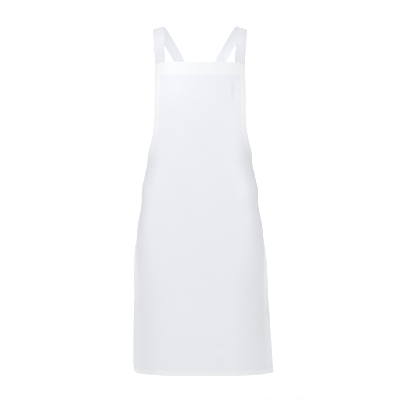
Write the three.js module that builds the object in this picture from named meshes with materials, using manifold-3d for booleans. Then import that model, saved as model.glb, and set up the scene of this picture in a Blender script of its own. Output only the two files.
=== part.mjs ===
// Crossback butcher apron as worn: bib and skirt, two straps that cross at the back, and on each
// side a slider and a side-release buckle at the waist corner. Millimetres. Origin between the
// straps on top of the shoulders, +Z up, front towards -Y. Left is -X, seen from the front.
import * as THREE from "three";
import Module from "manifold-3d";
const wasm = await Module();
wasm.setup();

// Flat cut
const LENGTH = 1040; // bib top to hem
const BIB_HALF = 156; // half the bib's width
const BIB_STRAIGHT = 150; // bib side above the armhole
const WAIST_HALF = 318; // half the width at the waist corners
const HEM_HALF = 312; // half the width at the hem
const ARMHOLE_DEPTH = 213; // from the end of the bib's side to the waist corner
const ARMHOLE_TURN = 82; // degrees the armhole's edge turns
const HEM_SAG = 12; // how far the hem's corners hang below its middle
const SIDE_HEM = 20;
const BOTTOM_HEM = 15;
const FACING_DEPTH = 45;

// Cloth
const CLOTH = 1.2;
const GAP = 0.3;
const STRAP_WIDTH = 38;
const STRAP = 1.6;

// The worn form: stations down the front
const STATION = [0, 130, 250, 350, 455, 550, 640, 800, 1060]; // distance below the bib's top
const TURN = [64, 61, 80, 143, 143, 102, 82, 72, 66]; // degrees the cloth has turned at ROUND
const TURN_POWER = [1.7, 1.8, 1.9, 2.7, 3.7, 3.3, 2.6, 1.7, 1.6];
const FRONT = [-104, -126, -131, -132, -132, -133, -135, -139, -147]; // Y of the centre line
const ROUND = WAIST_HALF - 60; // past this distance from the centre line the cloth is straight
const BIB_TOP = -128; // Z of the bib's top edge
const SWAY = 12; // how far the hem hangs towards +X
const SWAY_FROM = -600; // Z where that starts

// Straps
const STRAP_SEWN = 42; // length sewn to the bib
const BIB_CURVE = bibRadius(); // radius of the bib's curve under a strap
const STRAP_BOW = STRAP_WIDTH ** 2 / (8 * BIB_CURVE) + 0.4; // the flat strap stands off the bib
const CROSS_HEIGHT = -222; // Z where the straps cross
const CROSS_DEPTH = 107; // Y where the straps cross
const CROSS_FLAT = 30; // each strap lies flat this far either way from the crossing
const CROSS_SPREAD = 2.6; // half the distance between the two straps there
const SHOULDER = [
  [138, -47, -75],
  [141.5, -24, -26],
  [143, 0, STRAP / 2],
  [128, 32, -12],
  [103, 64, -50],
  [71, 90, -104],
  [38, 104, -160],
];

// Waist corner: where the webbing loop is sewn
const CORNER_IN = 18;
const CORNER_DOWN = 17;
const TAB_SEWN = 30; // length sewn below the anchor point
const TAB_FREE = 26; // where the loop leaves the cloth
const PATCH = 38;
const PATCH_SPACE = 2; // between the patch and the side hem

// Buckle, across the strap
const BAR_R = 1.8;
const SLOT_HALF = STRAP_WIDTH / 2 + 0.8;
const RAIL = 4.7; // width of the frame beside the strap
const BUCKLE_HALF = SLOT_HALF + RAIL;
const BUCKLE_THICK = 11;
const FRAME_THICK = 5.2;
const SOCKET_WALL = 3.8;
const CAVITY_HALF = BUCKLE_HALF - SOCKET_WALL;
const CAVITY_THICK = 6.6;
const PRONG_THICK = 5.2;
const PRONG_BITE = 1.3; // how far a latched prong's shoulder reaches behind the window's edge

// Buckle, along the strap: distances from the anchor point
const BAR_SLOT = 7; // from a bar's middle to the body beside it
const SOCKET_LENGTH = 36;
const PLUG_LENGTH = 9.6;
const PRONG_LENGTH = SOCKET_LENGTH - 9;
const WING = 13; // the prong's wide end, which shows in the socket's window
const SOCKET_BAR = TAB_FREE + 16;
const SOCKET_START = SOCKET_BAR + BAR_SLOT;
const SOCKET_END = SOCKET_START + SOCKET_LENGTH;
const PLUG_START = SOCKET_END + 0.4;
const PRONG_TIP = PLUG_START - PRONG_LENGTH;
const PRONG_SHOULDER = PRONG_TIP + WING;
const WINDOW_HIGH = PRONG_SHOULDER + 0.6;
const WINDOW_LOW = PRONG_TIP + 0.7;
const PLUG_END = PLUG_START + PLUG_LENGTH;
const PLUG_BAR = PLUG_END + BAR_SLOT;
const RELEASE = 28; // how far the plug comes out

// Slider
const SLIDER_LENGTH = 30;
const SLIDER_BAR = 5;
const SLIDER_DOWN = 10; // how far it slides towards the buckle
const SLIDER_UP = 26;
const SLIDER_CLEAR = 18.5; // from the opened plug to the lowered slider
const FRAME_END = 2.5; // frame beyond a bar's middle
const SLIDER_LOW = PLUG_BAR + FRAME_END + RELEASE + SLIDER_CLEAR + SLIDER_LENGTH / 2;
const SLIDER_AT = SLIDER_LOW + SLIDER_DOWN;
const LOOP_FROM = PLUG_BAR + FRAME_END + RELEASE + 1.5; // the strap below here follows the plug
const TWIST_FROM = SLIDER_AT + SLIDER_LENGTH / 2 + SLIDER_UP + 1; // straight up to here

const cloth = new THREE.MeshStandardMaterial({ color: 0xf1f3f8, roughness: 0.42, metalness: 0 });
const webbing = new THREE.MeshStandardMaterial({ color: 0xe9eaec, roughness: 0.85, metalness: 0 });
const plastic = new THREE.MeshStandardMaterial({ color: 0xdfe1e4, roughness: 0.35, metalness: 0 });
const thread = new THREE.MeshStandardMaterial({ color: 0xf7f7f5, roughness: 0.7, metalness: 0 });

const apron = new THREE.Group();
apron.name = "butcher_apron";

// Radius of the worn bib's curve at its side edge.
function bibRadius() {
  const power = TURN_POWER[0];
  const turn = THREE.MathUtils.degToRad(TURN[0]);
  return (ROUND / (turn * power)) * (ROUND / BIB_HALF) ** (power - 1);
}

function add(name, geometry, material) {
  const mesh = new THREE.Mesh(geometry, material);
  mesh.name = name;
  apron.add(mesh);
}

// A value that runs smoothly through its stations without overshooting them.
function between(values, at) {
  const n = STATION.length;
  const x = THREE.MathUtils.clamp(at, STATION[0], STATION[n - 1]);
  let i = 0;
  while (i < n - 2 && x > STATION[i + 1]) i++;
  const rise = (k) => (values[k + 1] - values[k]) / (STATION[k + 1] - STATION[k]);
  const slope = (k) => {
    if (k === 0) return rise(0);
    if (k === n - 1) return rise(n - 2);
    const a = rise(k - 1);
    const b = rise(k);
    return a * b <= 0 ? 0 : (2 * a * b) / (a + b);
  };
  const h = STATION[i + 1] - STATION[i];
  const t = (x - STATION[i]) / h;
  const a = (2 * t ** 3 - 3 * t ** 2 + 1) * values[i];
  const b = (t ** 3 - 2 * t ** 2 + t) * h * slope(i);
  const c = (3 * t ** 2 - 2 * t ** 3) * values[i + 1];
  const d = (t ** 3 - t ** 2) * h * slope(i + 1);
  return a + b + c + d;
}

// Height of a point on the centre line, v along the cloth below the bib's top.
function heightAt(v) {
  const steps = Math.max(1, Math.ceil(v / 10));
  let drop = 0;
  for (let i = 0; i < steps; i++) {
    const a = (v * i) / steps;
    const b = (v * (i + 1)) / steps;
    drop += Math.sqrt((b - a) ** 2 - (between(FRONT, b) - between(FRONT, a)) ** 2);
  }
  return BIB_TOP - drop;
}

// A point of the worn cloth's front face: u from the centre line, v below the bib's top.
function onCloth(u, v) {
  const turn = THREE.MathUtils.degToRad(between(TURN, v));
  const power = between(TURN_POWER, v);
  const reach = Math.min(Math.abs(u), ROUND);
  const steps = 48;
  const du = reach / steps;
  const straight = Math.abs(u) - reach;
  let x = straight * Math.cos(turn);
  let y = between(FRONT, v) + straight * Math.sin(turn);
  for (let i = 0; i < steps; i++) {
    const heading = turn * (((i + 0.5) * du) / ROUND) ** power;
    x += Math.cos(heading) * du;
    y += Math.sin(heading) * du;
  }
  const sag = HEM_SAG * (u / HEM_HALF) ** 2 * Math.max(0, v / LENGTH) ** 3;
  return new THREE.Vector3(Math.sign(u) * x, y, heightAt(v) - sag);
}

// The cloth's outward direction there.
function clothNormal(u, v) {
  const e = 0.5;
  const across = onCloth(u + e, v).sub(onCloth(u - e, v));
  const down = onCloth(u, v + e).sub(onCloth(u, Math.max(0, v - e)));
  return down.cross(across).normalize();
}

// A point lifted off the front face; below zero is towards the wearer.
function lifted(u, v, lift) {
  return onCloth(u, v).addScaledVector(clothNormal(u, v), lift);
}

// A closed solid between two grids of points, each a list of rows.
function slab(top, bottom) {
  const rows = top.length;
  const cols = top[0].length;
  const points = [...top.flat(), ...bottom.flat()];
  const index = [];
  const quad = (a, b, c, d) => index.push(a, b, c, a, c, d);
  const at = (side, i, j) => side * rows * cols + i * cols + j;
  // Quads split one way left of the middle and the other way right of it, as mirror images.
  for (let i = 0; i < rows - 1; i++)
    for (let j = 0; j < cols - 1; j++) {
      const right = top[i][j].x + top[i + 1][j + 1].x > 0;
      const ring = [[i, j], [i + 1, j], [i + 1, j + 1], [i, j + 1]];
      if (right) ring.push(ring.shift());
      quad(...ring.map(([row, column]) => at(0, row, column)));
      const [a, b, c, d] = ring.map(([row, column]) => at(1, row, column));
      quad(a, d, c, b);
    }
  for (let i = 0; i < rows - 1; i++) {
    quad(at(0, i, 0), at(1, i, 0), at(1, i + 1, 0), at(0, i + 1, 0));
    const j = cols - 1;
    quad(at(0, i, j), at(0, i + 1, j), at(1, i + 1, j), at(1, i, j));
  }
  for (let j = 0; j < cols - 1; j++) {
    quad(at(0, 0, j), at(0, 0, j + 1), at(1, 0, j + 1), at(1, 0, j));
    const i = rows - 1;
    quad(at(0, i, j), at(1, i, j), at(1, i, j + 1), at(0, i, j + 1));
  }
  let volume = 0;
  for (let k = 0; k < index.length; k += 3) {
    const [a, b, c] = [points[index[k]], points[index[k + 1]], points[index[k + 2]]];
    volume += a.dot(b.clone().cross(c));
  }
  if (volume < 0) index.reverse();
  const geometry = new THREE.BufferGeometry().setFromPoints(points);
  geometry.setIndex(index);
  geometry.computeVertexNormals();
  return geometry;
}

function mirrored(grid) {
  return grid.map((row) => row.map((p) => new THREE.Vector3(-p.x, p.y, p.z)));
}

// The armhole's edge: a squashed quarter turn, u outwards and v down from the bib's straight side.
const WAIST_V = BIB_STRAIGHT + ARMHOLE_DEPTH;
const ARMHOLE_END = THREE.MathUtils.degToRad(ARMHOLE_TURN);
const ARMHOLE_POWER = 1.35; // above 1 the edge stays close to the bib for longer

function armholeEdge(a) {
  const reach = (1 - Math.cos(a)) / (1 - Math.cos(ARMHOLE_END));
  const u = BIB_HALF + (WAIST_HALF - BIB_HALF) * reach ** ARMHOLE_POWER;
  const v = BIB_STRAIGHT + (ARMHOLE_DEPTH * Math.sin(a)) / Math.sin(ARMHOLE_END);
  return new THREE.Vector2(u, v);
}

// The flat cut's outline and the hem's inner line beside it, for one row of the grid.
function armholeRow(a) {
  const edge = armholeEdge(a);
  const step = armholeEdge(a + 0.01).sub(armholeEdge(Math.max(0, a - 0.01)));
  const inward = new THREE.Vector2(-step.y, step.x).normalize();
  const hem = edge.clone().addScaledVector(inward, SIDE_HEM);
  const middle = BIB_STRAIGHT + (ARMHOLE_DEPTH * a) / ARMHOLE_END;
  return { edge, hem, middle, slope: step.y / step.x };
}

function sideRow(v) {
  const t = (v - WAIST_V) / (LENGTH - WAIST_V);
  const half = v <= BIB_STRAIGHT ? BIB_HALF : THREE.MathUtils.lerp(WAIST_HALF, HEM_HALF, t);
  return {
    edge: new THREE.Vector2(half, v),
    hem: new THREE.Vector2(half - SIDE_HEM, v),
    middle: v,
  };
}

const outline = [];
for (const v of [0, FACING_DEPTH, (FACING_DEPTH + BIB_STRAIGHT) / 2]) outline.push(sideRow(v));
const ARMHOLE_ROWS = 14;
for (let k = 0; k < ARMHOLE_ROWS; k++) outline.push(armholeRow((ARMHOLE_END * k) / ARMHOLE_ROWS));
const CORNER_ROW = outline.length;
const cornerRow = armholeRow(ARMHOLE_END);
cornerRow.hem.set(WAIST_HALF - SIDE_HEM, WAIST_V + SIDE_HEM * (1 - cornerRow.slope));
outline.push(cornerRow);
const SIDE_ROWS = 13;
const HEM_TOP = LENGTH - BOTTOM_HEM;
const BELOW_CORNER = WAIST_V + 2 * SIDE_HEM;
for (let k = 0; k < SIDE_ROWS; k++)
  outline.push(sideRow(THREE.MathUtils.lerp(BELOW_CORNER, HEM_TOP, k / SIDE_ROWS)));
const LAST_SIDE = outline.length;
outline.push(sideRow(HEM_TOP), sideRow(LENGTH));

// Fractions of the way from the centre line to the hem's inner line, closer where it turns most
const ROUND_SHARE = (ROUND - 2) / (WAIST_HALF - SIDE_HEM);
const TURNING = [0, 0.12, 0.24, 0.36, 0.47, 0.56, 0.64, 0.71, 0.78, 0.85, 0.92, 1];
const COLUMNS = [...TURNING.map((c) => c * ROUND_SHARE), (1 + ROUND_SHARE) / 2, 1];

// One row of flat points from the centre line out, ending with the hem line and the edge.
function flatRow(row) {
  const half = COLUMNS.map((c) => {
    const v = THREE.MathUtils.lerp(row.middle, row.hem.y, c * c);
    return new THREE.Vector2(row.hem.x * c, v);
  });
  half.push(row.edge);
  return half;
}

// The same row on the worn form, on the +X side.
function wornRow(row, lift) {
  return flatRow(row).map((p) => lifted(p.x, p.y, lift));
}

function fullRow(row, lift) {
  const half = wornRow(row, lift);
  const other = half.slice(1).reverse();
  const full = [...other.map((p) => new THREE.Vector3(-p.x, p.y, p.z)), ...half];
  const bottom = heightAt(LENGTH);
  for (const p of full) {
    const down = Math.max(0, (SWAY_FROM - p.z) / (SWAY_FROM - bottom));
    p.x += SWAY * down ** 1.4;
  }
  return full;
}

function makePanel() {
  const top = outline.map((row) => fullRow(row, 0));
  const bottom = outline.map((row) => fullRow(row, -CLOTH));
  add("apron_panel", slab(top, bottom), cloth);
}

// A point a given distance along the line from one point to another.
function along(from, to, distance) {
  return from.clone().addScaledVector(to.clone().sub(from).normalize(), distance);
}

// Moves the first and last rows of a grid inwards, to leave a gap at the neighbours.
function trimmed(grid, start, end) {
  const n = grid.length;
  const first = grid[0].map((p, j) => along(p, grid[1][j], start));
  const last = grid[n - 1].map((p, j) => along(p, grid[n - 2][j], end));
  return [first, ...grid.slice(1, n - 1), last];
}

const HEM_OUT = -CLOTH - 0.5;
const HEM_IN = HEM_OUT - CLOTH;

// A hem along the edge from one row of the outline to another; cut picks its two columns.
function addHem(name, from, to, start, cut) {
  const grid = (lift) => {
    const rows = outline.slice(from, to + 1).map((row) => fullRow(row, lift).slice(...cut));
    return trimmed(rows, start, 0.4);
  };
  add(name, slab(grid(HEM_OUT), grid(HEM_IN)), cloth);
}

function makeHems() {
  for (const [side, cut] of [["left", [0, 2]], ["right", [-2]]]) {
    addHem(side + "_armhole_hem", 0, CORNER_ROW, 0, cut);
    addHem(side + "_side_hem", CORNER_ROW, LAST_SIDE, 0.4, cut);
  }
  const bottomRows = (lift) => outline.slice(-2).map((row) => fullRow(row, lift));
  add("bottom_hem", slab(bottomRows(HEM_OUT), bottomRows(HEM_IN)), cloth);
}

// The bib's top facing, between the two armhole hems.
function makeFacing() {
  const grid = (lift) =>
    outline.slice(0, 2).map((row) => {
      const full = fullRow(row, lift).slice(1, -1);
      const n = full.length;
      full[0] = along(full[0], full[1], 0.4);
      full[n - 1] = along(full[n - 1], full[n - 2], 0.4);
      return full;
    });
  add("bib_top_facing", slab(grid(HEM_OUT), grid(HEM_IN)), cloth);
}

// A strip along stations, each with a centre, a direction across and a normal.
function ribbon(stations, width, thickness) {
  const grid = (side) =>
    stations.map(({ c, across, normal }) =>
      [-0.5, 0, 0.5].map((w) =>
        c.clone().addScaledVector(across, w * width).addScaledVector(normal, (side * thickness) / 2),
      ),
    );
  return slab(grid(1), grid(-1));
}

// The strap's line on the +X side's waist corner, as an origin and three directions.
const anchor = lifted(WAIST_HALF - CORNER_IN, WAIST_V + CORNER_DOWN, 0);
const outward = clothNormal(WAIST_HALF - CORNER_IN, WAIST_V + CORNER_DOWN);
const TAB_OUTER = HEM_IN - GAP - STRAP / 2; // the loop's outer layer, lift of its middle
const TAB_INNER = TAB_OUTER - STRAP - GAP;
const TURN_R = BAR_R + GAP + STRAP / 2; // radius of webbing round a bar
const BAR_N = (TAB_OUTER + TAB_INNER) / 2; // the buckle's middle plane
const STRAP_N = BAR_N + TURN_R; // the strap's straight run

const crossing = new THREE.Vector3(0, CROSS_DEPTH, CROSS_HEIGHT);
const strapLine = crossing.clone().sub(anchor);
strapLine.addScaledVector(outward, -strapLine.dot(outward)).normalize();
const sideways = strapLine.clone().cross(outward).normalize();

// A point in the buckle's frame: w across, s along the strap, n outwards.
function buckle(w, s, n) {
  return anchor
    .clone()
    .addScaledVector(sideways, w)
    .addScaledVector(strapLine, s)
    .addScaledVector(outward, n);
}

const buckleFrame = new THREE.Matrix4().makeBasis(sideways, strapLine, outward).setPosition(anchor);
const mirror = new THREE.Matrix4().makeScale(-1, 1, 1);

function toManifold(geometry) {
  const g = geometry.index ? geometry : geometry.clone();
  const positions = g.getAttribute("position");
  const seen = new Map();
  const vertices = [];
  const triangles = [];
  const count = g.index ? g.index.count : positions.count;
  for (let k = 0; k < count; k++) {
    const i = g.index ? g.index.getX(k) : k;
    const p = [positions.getX(i), positions.getY(i), positions.getZ(i)];
    const key = p.map((x) => Math.round(x * 1e4)).join();
    if (!seen.has(key)) {
      seen.set(key, vertices.length / 3);
      vertices.push(...p);
    }
    triangles.push(seen.get(key));
  }
  const mesh = new wasm.Mesh({
    numProp: 3,
    vertProperties: new Float32Array(vertices),
    triVerts: new Uint32Array(triangles),
  });
  return new wasm.Manifold(mesh);
}

function toGeometry(manifold) {
  const mesh = manifold.getMesh();
  const geometry = new THREE.BufferGeometry();
  const positions = new Float32Array(mesh.vertProperties);
  geometry.setAttribute("position", new THREE.BufferAttribute(positions, 3));
  geometry.setIndex(Array.from(mesh.triVerts));
  return geometry;
}

function box(w0, w1, s0, s1, n0, n1) {
  const g = new THREE.BoxGeometry(w1 - w0, s1 - s0, n1 - n0);
  g.translate((w0 + w1) / 2, (s0 + s1) / 2, (n0 + n1) / 2);
  return toManifold(g);
}

// A block with rounded corners in plan, from outline points [w, s].
function plate(points, n0, n1) {
  const shape = new THREE.Shape(points.map(([w, s]) => new THREE.Vector2(w, s)));
  const g = new THREE.ExtrudeGeometry(shape, { depth: n1 - n0, bevelEnabled: false });
  g.translate(0, 0, n0);
  return toManifold(g);
}

// Outline of a rectangle with rounded corners.
function rounded(w0, w1, s0, s1, r) {
  const points = [];
  const corners = [[w1 - r, s0 + r, -90], [w1 - r, s1 - r, 0], [w0 + r, s1 - r, 90], [w0 + r, s0 + r, 180]];
  for (const [w, s, start] of corners)
    for (let k = 0; k <= 4; k++) {
      const a = THREE.MathUtils.degToRad(start + 22.5 * k);
      points.push([w + r * Math.cos(a), s + r * Math.sin(a)]);
    }
  return points;
}

// A round bar across the strap.
function barAcross(s, n, r, half) {
  const g = new THREE.CylinderGeometry(r, r, 2 * half, 16);
  g.rotateZ(Math.PI / 2);
  g.translate(0, s, n);
  return toManifold(g);
}

function addBoth(name, manifold, material) {
  const right = toGeometry(manifold).applyMatrix4(buckleFrame);
  const left = toGeometry(manifold).applyMatrix4(buckleFrame);
  left.applyMatrix4(mirror);
  const index = Array.from(left.index.array).reverse();
  left.setIndex(index);
  right.computeVertexNormals();
  left.computeVertexNormals();
  add("right_" + name, right, material);
  add("left_" + name, left, material);
}

// Frame round a bar: rails beside the strap, from the bar's far side to the body.
function barFrame(bar, body, outer, thick) {
  const away = Math.sign(bar - body);
  const ends = [body - away * 4, bar + away * FRAME_END].sort((a, b) => a - b);
  const slotEnds = [body, bar + away * 9].sort((a, b) => a - b);
  const block = plate(rounded(-outer, outer, ...ends, 2.4), BAR_N - thick / 2, BAR_N + thick / 2);
  const slot = box(-SLOT_HALF, SLOT_HALF, ...slotEnds, BAR_N - thick, BAR_N + thick);
  return { block, slot, rod: barAcross(bar, BAR_N, BAR_R, SLOT_HALF + RAIL / 3) };
}

function makeSocket() {
  const low = BAR_N - BUCKLE_THICK / 2;
  const high = BAR_N + BUCKLE_THICK / 2;
  const frame = barFrame(SOCKET_BAR, SOCKET_START, BUCKLE_HALF, FRAME_THICK);
  let body = plate(rounded(-BUCKLE_HALF, BUCKLE_HALF, SOCKET_START, SOCKET_END, 3), low, high);
  body = body.add(frame.block).subtract(frame.slot).add(frame.rod);
  const cavity = [BAR_N - CAVITY_THICK / 2, BAR_N + CAVITY_THICK / 2];
  const mouth = box(-CAVITY_HALF, CAVITY_HALF, SOCKET_START + 4, SOCKET_END + 1, ...cavity);
  const side = BUCKLE_HALF + 1;
  const windows = box(-side, side, WINDOW_LOW, WINDOW_HIGH, ...cavity);
  const scoop = plate(rounded(-9, 9, SOCKET_END - 7, SOCKET_END + 9, 6), BAR_N + 1, high + 1);
  addBoth("buckle_socket", body.subtract(mouth).subtract(windows).subtract(scoop), plastic);
}

function makePlug() {
  const frame = barFrame(PLUG_BAR, PLUG_END, BUCKLE_HALF, FRAME_THICK);
  const thick = BUCKLE_THICK - 1.8;
  const body = rounded(-BUCKLE_HALF, BUCKLE_HALF, PLUG_START, PLUG_END, 2.5);
  let plug = plate(body, BAR_N - thick / 2, BAR_N + thick / 2);
  plug = plug.add(frame.block).subtract(frame.slot).add(frame.rod);
  const tip = PRONG_TIP + 1;
  const tongue = [
    [4, PLUG_START + 1],
    [4, tip + 3],
    [2.5, tip],
    [-2.5, tip],
    [-4, tip + 3],
    [-4, PLUG_START + 1],
  ];
  const half = PRONG_THICK / 2;
  plug = plug.add(plate(tongue, BAR_N - half, BAR_N + half));
  addBoth("buckle_plug", plug, plastic);
  const root = PLUG_START - GAP;
  const end = PRONG_TIP;
  const inside = CAVITY_HALF;
  const prong = [
    [inside - 7, root],
    [inside - 5.8, end + 6],
    [inside - 4, end + 0.5],
    [inside - 1.6, end],
    [inside + 0.6, end + 2.6],
    [inside + 3.2, end + 6],
    [inside + 2.8, end + 10],
    [inside + PRONG_BITE, PRONG_SHOULDER],
    [inside - 2, PRONG_SHOULDER],
    [inside - 2.8, root],
  ];
  const lower = plate(prong, BAR_N - half, BAR_N + half);
  const upper = plate(prong.map(([w, s]) => [-w, s]).reverse(), BAR_N - half, BAR_N + half);
  addBoth("buckle_prong_lower", lower, plastic);
  addBoth("buckle_prong_upper", upper, plastic);
}

// The slider's middle bar carries the strap's end, behind the strap's straight run.
const RETURN_BAR_N = STRAP_N - STRAP - 2 * GAP - BAR_R - STRAP / 2;

function makeSlider() {
  const s0 = SLIDER_AT - SLIDER_LENGTH / 2;
  const s1 = SLIDER_AT + SLIDER_LENGTH / 2;
  const over = STRAP_N + STRAP / 2 + GAP;
  let slider = plate(rounded(-BUCKLE_HALF, BUCKLE_HALF, s0, s1, 3), over, over + 2.6);
  const window = box(-SLOT_HALF, SLOT_HALF, s0 + SLIDER_BAR, s1 - SLIDER_BAR, over - 9, over + 4);
  slider = slider.subtract(window);
  for (const [a, b] of [[-BUCKLE_HALF, -SLOT_HALF], [SLOT_HALF, BUCKLE_HALF]]) {
    const rail = plate(rounded(a, b, s0 + 3, s1 - 3, 1.6), RETURN_BAR_N - BAR_R - 0.6, over + 1);
    slider = slider.add(rail);
  }
  slider = slider.add(barAcross(SLIDER_AT, RETURN_BAR_N, BAR_R, SLOT_HALF + RAIL / 3));
  addBoth("strap_slider", slider, plastic);
}

// Stations for webbing in the buckle's lengthwise plane, from [s, n] points.
function loopStations(points) {
  return points.map(([s, n], k) => {
    const a = points[Math.max(0, k - 1)];
    const b = points[Math.min(points.length - 1, k + 1)];
    const length = Math.hypot(b[0] - a[0], b[1] - a[1]);
    const normal = strapLine
      .clone()
      .multiplyScalar(-(b[1] - a[1]) / length)
      .addScaledVector(outward, (b[0] - a[0]) / length);
    return { c: buckle(0, s, n), across: sideways, normal };
  });
}

// Half a turn round a bar; facing +1 bulges up the strap, -1 down it.
function halfTurn(s, n, facing) {
  const points = [];
  for (let k = 0; k <= 8; k++) {
    const a = (Math.PI * k) / 8;
    points.push([s + facing * TURN_R * Math.sin(a), n + TURN_R * Math.cos(a)]);
  }
  return points;
}

function addRibbons(name, stations, width, thickness, material) {
  add("right_" + name, ribbon(stations, width, thickness), material);
  const flip = (p) => new THREE.Vector3(-p.x, p.y, p.z);
  const left = stations.map(({ c, across, normal }) => ({
    c: flip(c),
    across: flip(across),
    normal: flip(normal),
  }));
  add("left_" + name, ribbon(left, width, thickness), material);
}

function makeTab() {
  const points = [
    [-TAB_SEWN, TAB_OUTER],
    [TAB_FREE, TAB_OUTER],
    ...halfTurn(SOCKET_BAR, BAR_N, 1),
    [TAB_FREE, TAB_INNER],
    [-TAB_SEWN, TAB_INNER],
  ];
  addRibbons("waist_tab", loopStations(points), STRAP_WIDTH, STRAP, webbing);
}

function makeReturn() {
  const points = [
    [LOOP_FROM - GAP, STRAP_N],
    ...halfTurn(PLUG_BAR, BAR_N, -1),
    [SLIDER_AT - 12, RETURN_BAR_N - TURN_R],
    ...halfTurn(SLIDER_AT, RETURN_BAR_N, 1).reverse(),
    [SLIDER_AT - 9, RETURN_BAR_N + TURN_R],
  ];
  addRibbons("strap_return", loopStations(points), STRAP_WIDTH, STRAP, cloth);
}

// The shoulder strap that starts at one bib corner and ends at the other side's buckle.
function strapStations(depth) {
  const lift = HEM_IN - GAP - STRAP_BOW - STRAP / 2;
  const u = BIB_HALF - STRAP_WIDTH / 2;
  const points = [];
  const normals = [];
  for (const v of [STRAP_SEWN, STRAP_SEWN / 2, 1]) {
    points.push(lifted(u, v, lift));
    normals.push(clothNormal(u, v));
  }
  const up = [
    [0.12, -0.83, 0.55],
    [0.2, -0.6, 0.8],
    [0.26, 0, 0.97],
    [0.24, 0.5, 0.82],
    [0.2, 0.85, 0.5],
    [0.1, 0.95, 0.28],
    [0.02, 0.99, 0.12],
  ];
  SHOULDER.forEach((p, k) => {
    points.push(new THREE.Vector3(...p));
    normals.push(new THREE.Vector3(...up[k]));
  });
  const flip = (p) => new THREE.Vector3(-p.x, p.y, p.z);
  const run = flip(strapLine).setY(0).normalize();
  for (const k of [CROSS_FLAT, 0, -CROSS_FLAT]) {
    const centre = new THREE.Vector3(0, CROSS_DEPTH + depth, CROSS_HEIGHT);
    points.push(centre.addScaledVector(run, k));
    normals.push(new THREE.Vector3(0, 1, 0));
  }
  for (const s of [TWIST_FROM, TWIST_FROM - 15]) {
    points.push(flip(buckle(0, s, STRAP_N)));
    normals.push(flip(outward));
  }
  const curve = new THREE.CatmullRomCurve3(points, false, "centripetal");
  const per = 5;
  const total = (points.length - 1) * per;
  const stations = [];
  for (let k = 0; k <= total; k++) {
    const i = Math.min(points.length - 2, Math.floor(k / per));
    const f = k / per - i;
    const tangent = curve.getTangent(k / total);
    const normal = normals[i].clone().lerp(normals[i + 1], f);
    normal.addScaledVector(tangent, -normal.dot(tangent)).normalize();
    const across = tangent.clone().cross(normal).normalize();
    stations.push({ c: curve.getPoint(k / total), across, normal });
  }
  const normal = flip(outward);
  const down = flip(strapLine).negate();
  const across = down.clone().cross(normal).normalize();
  for (const s of [SLIDER_AT, SLIDER_AT - 25, LOOP_FROM])
    stations.push({ c: flip(buckle(0, s, STRAP_N)), across, normal });
  return stations;
}

function makeStraps() {
  const right = strapStations(CROSS_SPREAD);
  add("right_shoulder_strap", ribbon(right, STRAP_WIDTH, STRAP), cloth);
  const flip = (p) => new THREE.Vector3(-p.x, p.y, p.z);
  const left = strapStations(-CROSS_SPREAD).map(({ c, across, normal }) => ({
    c: flip(c),
    across: flip(across),
    normal: flip(normal),
  }));
  add("left_shoulder_strap", ribbon(left, STRAP_WIDTH, STRAP), cloth);
}

// A box stitch: a frame and a cross of thread, laid on the cloth's front face.
function boxStitch(width, height, line) {
  const w = width / 2;
  const h = height / 2;
  let body = box(-w, w, -h, h, 0, 0.6);
  body = body.subtract(box(-w + line, w - line, -h + line, h - line, -1, 1));
  const length = 2 * Math.hypot(w - line / 2, h - line / 2);
  for (const side of [-1, 1]) {
    const g = new THREE.BoxGeometry(length, line, 0.6);
    g.rotateZ(side * Math.atan2(h, w));
    g.translate(0, 0, 0.3);
    body = body.add(toManifold(g));
  }
  return body;
}

function placeBoth(name, manifold, frame) {
  const right = toGeometry(manifold).applyMatrix4(frame);
  const left = right.clone().applyMatrix4(mirror);
  left.setIndex(Array.from(left.index.array).reverse());
  right.computeVertexNormals();
  left.computeVertexNormals();
  add("right_" + name, right, thread);
  add("left_" + name, left, thread);
}

function makeStitching() {
  const u = BIB_HALF - STRAP_WIDTH / 2;
  const v = STRAP_SEWN / 2;
  const normal = clothNormal(u, v);
  const up = onCloth(u, v - 5).sub(onCloth(u, v + 5)).normalize();
  const across = up.clone().cross(normal).normalize();
  const place = lifted(u, v, 1.3);
  const frame = new THREE.Matrix4().makeBasis(across, up, normal).setPosition(place);
  placeBoth("strap_stitch", boxStitch(STRAP_WIDTH - 8, STRAP_SEWN - 14, 1), frame);
  const tab = new THREE.Matrix4().makeBasis(sideways, strapLine, outward);
  tab.setPosition(buckle(0, -TAB_SEWN / 2 + 3, 0.5));
  placeBoth("tab_stitch", boxStitch(STRAP_WIDTH - 8, TAB_SEWN - 8, 1), tab);
}

// The patch lies beside the hems, behind the waist corner.
function makePatch() {
  const v0 = cornerRow.hem.y + 4;
  const beside = (v) => sideRow(v).hem.x - PATCH_SPACE;
  const row = (v, lift) => [beside(v) - PATCH, beside(v)].map((u) => lifted(u, v, lift));
  const grid = (lift) => [v0, v0 + PATCH].map((v) => row(v, lift));
  const top = grid(HEM_OUT);
  const bottom = grid(HEM_IN);
  add("right_waist_patch", slab(top, bottom), cloth);
  add("left_waist_patch", slab(mirrored(top), mirrored(bottom)), cloth);
}

makePanel();
makeFacing();
makeHems();
makePatch();
makeStraps();
makeStitching();
makeTab();
makeSocket();
makePlug();
makeSlider();
makeReturn();

export default apron;
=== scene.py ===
"""Crossback butcher apron: the looks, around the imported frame. Lengths are in millimetres, in the
CAD's frame, and turn into metres where a mesh is made. The stage and the lights are in metres."""
import math

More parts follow.
